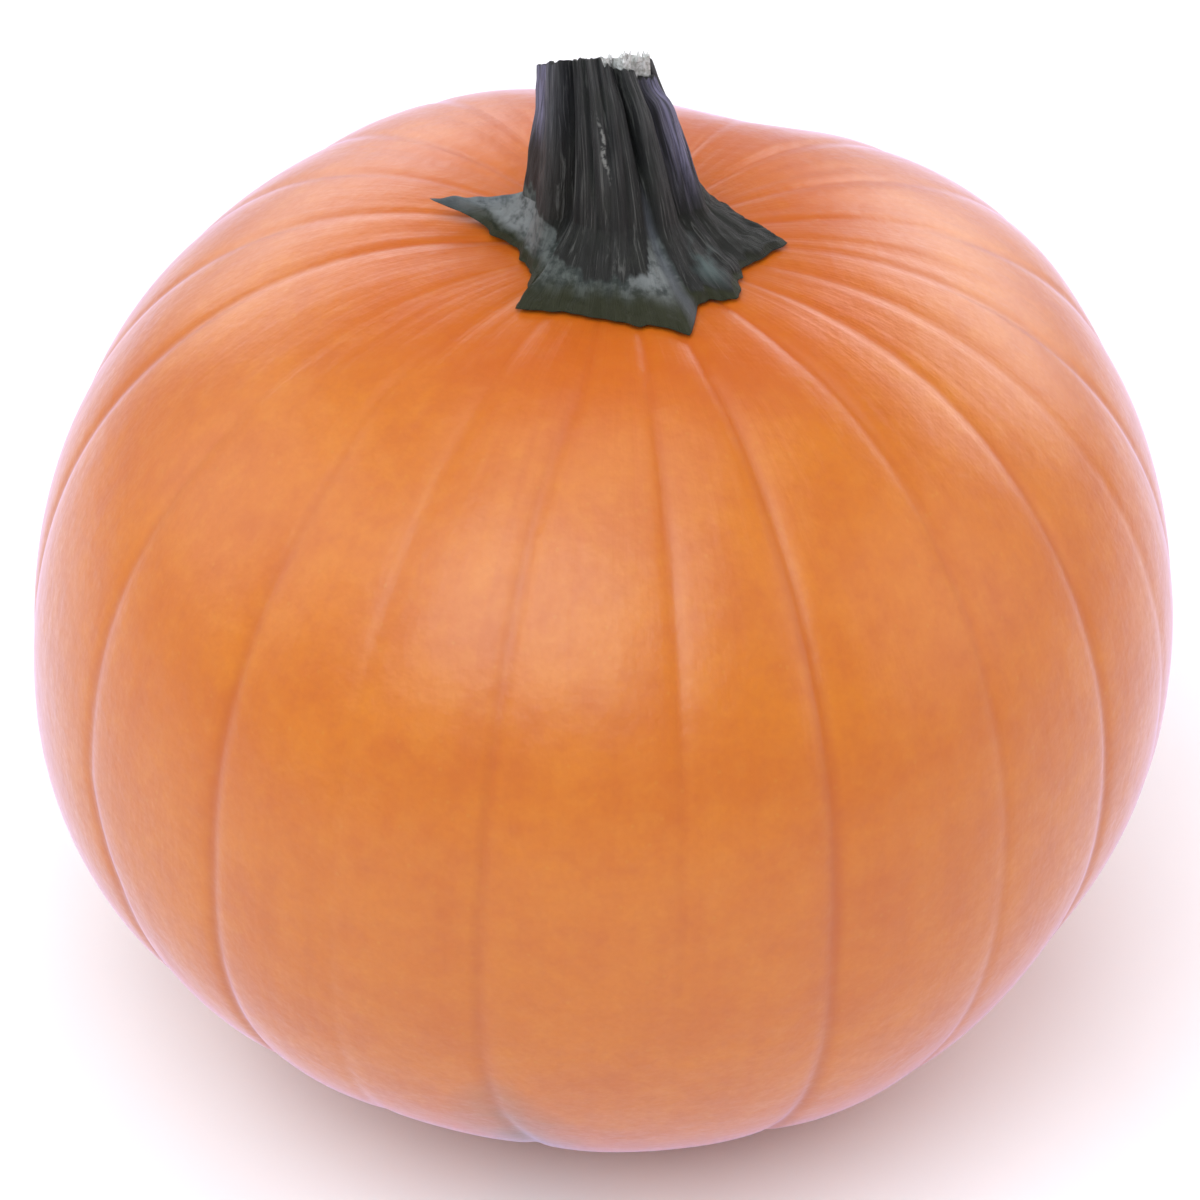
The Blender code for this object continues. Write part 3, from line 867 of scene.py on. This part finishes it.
bark_colour = paint(tree, linear("040403"), (
    # painted light and shade: lighter on the ridges, darker in grooves and cracks
    (marks["relief"], 0.12, 0.9, 0.0, 1.0, "454443"),
    (streaks, 0.35, 0.65, 0.65, 0.0, "0F0E0F"),
    (marks["up"], -0.1, 0.75, 0.80, 0.15, "12110A"),
    (flakes, 0.54, 0.62, 0.0, 0.6, "5A5955"),
    (flakes, 0.38, 0.48, 0.75, 0.0, "080807"),
    (patches, 0.5, 0.7, 0.0, 0.4, "25271F"),
    (marks["brown"], 0.0, 1.0, 0.0, 1.0, "2A1F1A"),
    # painted reflection: a violet sheen on the column's sides
    (marks["painted_violet_sheen"], 0.0, 1.0, 0.0, 0.9, "7E7892"),
    (marks["scratch"], 0.2, 0.7, 0.0, 0.85, "7C7B76"),
))
flare_colour = paint(tree, linear("2A2F2B"), (
    (mottles, 0.42, 0.58, 0.0, 1.0, "50544F"),
    (marks["dust"], 0.1, 0.9, 0.0, 0.85, "7B7D7C"),
    (streaks, 0.55, 0.75, 0.0, 0.35, "272E31"),
    (marks["rim"], 0.0, 1.0, 0.0, 1.0, "23240D"),
    (marks["tip"], 0.3, 1.0, 0.0, 0.8, "646A71"),
))
pith_colour = paint(tree, linear("9A9890"), (
    (crumbs, 0.35, 0.6, 0.0, 1.0, "D2D1CE"),
    (mottles, 0.58, 0.64, 0.0, 0.85, "4A4640"),
))
skin = paint(tree, flare_colour, (
    (marks["bark"], 0.0, 1.0, 0.0, 1.0, bark_colour),
    # painted shade, nearly black, on the side away from the main light
    (marks["painted_side_shade"], 0.0, 1.0, 0.0, 0.8, "191A13"),
    (marks["teal"], 0.1, 0.8, 0.0, 0.85, "4E5A58"),
    (marks["streak"], 0.2, 1.0, 0.0, 0.7, "505257"),
    (marks["pith"], 0.0, 1.0, 0.0, 1.0, pith_colour),
    (marks["under"], 0.0, 1.0, 0.0, 1.0, "1A1E14"),
))
roughness = add(
    tree, "ShaderNodeMapRange", {VALUE: streaks, LOW: 0.3, HIGH: 0.7, AT_LOW: 0.75, AT_HIGH: 0.52}
).outputs[0]
crumb_bump = add(
    tree, "ShaderNodeBump", {"Height": crumbs, "Strength": 0.6, "Distance": 0.0002}
).outputs["Normal"]
flake_bump = add(
    tree, "ShaderNodeBump", {"Height": flakes, "Strength": 0.9, "Distance": 0.0009, "Normal": crumb_bump}
).outputs["Normal"]
stem_shader = add(tree, "ShaderNodeBsdfPrincipled", {
    "Base Color": skin, "Roughness": roughness, "Normal": flake_bump,
    "Sheen Weight": 0.03, "Sheen Roughness": 0.5, "Sheen Tint": linear("DADAE6"),
    "Specular IOR Level": 0.28,
})
add(tree, "ShaderNodeOutputMaterial", {"Surface": stem_shader.outputs[0]})
stem_piece.data.materials.append(stem_material)
print("corky_stem nodes:", len(tree.nodes))

# %% [markdown]
# ## Fibre
#
# Torn fibre is plant cellulose, nearly white and quite matt. A little noise keeps one strand from
# looking like the next.

# %% Make the fibre material
fibre_material, tree = start("torn_pith_fibre")
place = add(tree, "ShaderNodeTexCoord").outputs["Object"]
tones = add(tree, "ShaderNodeTexNoise", {"Vector": place, "Scale": 1 / 0.0015, "Detail": 2.0}).outputs[0]
colour = paint(tree, linear("ABA9A3"), [(tones, 0.35, 0.65, 0.0, 1.0, "D2D1CE")])
fibre_shader = add(tree, "ShaderNodeBsdfPrincipled", {"Base Color": colour, "Roughness": 0.8})
add(tree, "ShaderNodeOutputMaterial", {"Surface": fibre_shader.outputs[0]})
fibre_piece.data.materials.append(fibre_material)
print("torn_pith_fibre nodes:", len(tree.nodes))

# %% [markdown]
# ## Floor and light
#
# The floor is a pale sheet, large enough to fill the view. The light is what a product photographer
# would set up: one large, slightly cool softbox high at the front left, weaker ones at both sides,
# behind and overhead, and a faintly lavender room that is bright near the table and dim high up
# behind. The pale floor throws light up under the fruit.

# %% Set the stage
FLOOR_HALF = 4.0
floor_shape = bmesh.new()
bmesh.ops.create_grid(floor_shape, x_segments=8, y_segments=8, size=FLOOR_HALF)
floor_mesh = bpy.data.meshes.new("floor")
floor_shape.to_mesh(floor_mesh)
floor_shape.free()
floor = bpy.data.objects.new("floor", floor_mesh)
bpy.context.scene.collection.objects.link(floor)
floor_material, tree = start("pale_paper")
place = add(tree, "ShaderNodeTexCoord").outputs["Object"]
fleck = add(tree, "ShaderNodeTexNoise", {"Vector": place, "Scale": 1 / 0.05, "Detail": 2.0}).outputs[0]
paper = paint(tree, linear("F6F5F9"), [(fleck, 0.0, 1.0, 0.0, 1.0, "FAF9FC")])
floor_shader = add(tree, "ShaderNodeBsdfPrincipled", {"Base Color": paper, "Roughness": 0.9})
add(tree, "ShaderNodeOutputMaterial", {"Surface": floor_shader.outputs[0]})
floor_mesh.materials.append(floor_material)

# Each softbox: azimuth, height angle, distance, width, height, power in watts, colour
SOFTBOXES = (
    ("key", -19, 49, 1.5, 1.4, 1.1, 16.5, "EAFBFF"),
    ("left_fill", -95, 34, 1.5, 1.1, 1.1, 6.2, "FFFFFF"),
    ("right_fill", 76, 26, 1.5, 1.1, 1.1, 5.2, "FFF4F0"),
    ("back_edge", -155, 24, 1.5, 1.1, 0.8, 6.3, "FFFFFF"),
    ("back_right", 140, 24, 1.5, 1.2, 0.8, 9.3, "FFFFFF"),
    ("top", 0, 88, 1.6, 1.3, 1.3, 8.5, "FFFFFF"),
)
target = Vector((0, 0, WAIST_SHARE * body_high[2]))
for name, light_azimuth, light_height, distance, width, height, power, tint in SOFTBOXES:
    light = bpy.data.lights.new(name, "AREA")
    light.shape = "RECTANGLE"
    light.size, light.size_y = width, height
    light.energy = power
    light.color = linear(tint)[:3]
    box = bpy.data.objects.new(name, light)
    way = Vector(direction(light_azimuth, 90.0 - light_height))
    box.location = target + way * distance
    box.rotation_euler = way.to_track_quat("Z", "Y").to_euler()
    bpy.context.scene.collection.objects.link(box)

ROOM_STRENGTH = 0.75
world = bpy.data.worlds.new("studio")
world.use_nodes = True
tree = world.node_tree
tree.nodes.clear()
sky = add(tree, "ShaderNodeTexCoord").outputs["Generated"]
ways = add(tree, "ShaderNodeSeparateXYZ", {0: sky}).outputs
upper = add(tree, "ShaderNodeMapRange", {VALUE: ways["Z"], LOW: 0.12, HIGH: 0.45}).outputs[0]
behind = add(tree, "ShaderNodeMapRange", {VALUE: ways["Y"], LOW: -0.1, HIGH: 0.4}).outputs[0]
high_behind = add(tree, "ShaderNodeMath", {0: upper, 1: behind}, operation="MULTIPLY").outputs[0]
room = paint(tree, linear("FFF8FF"), (
    (ways["Z"], 0.05, 0.35, 0.0, 1.0, "C4BFCE"),
    (high_behind, 0.0, 1.0, 0.0, 1.0, "5A5862"),
))
background = add(tree, "ShaderNodeBackground", {"Color": room, "Strength": ROOM_STRENGTH})
add(tree, "ShaderNodeOutputWorld", {"Surface": background.outputs[0]})
bpy.context.scene.world = world
bpy.context.scene.view_settings.view_transform = "Standard"
print("softboxes:", [name for name, *_ in SOFTBOXES])
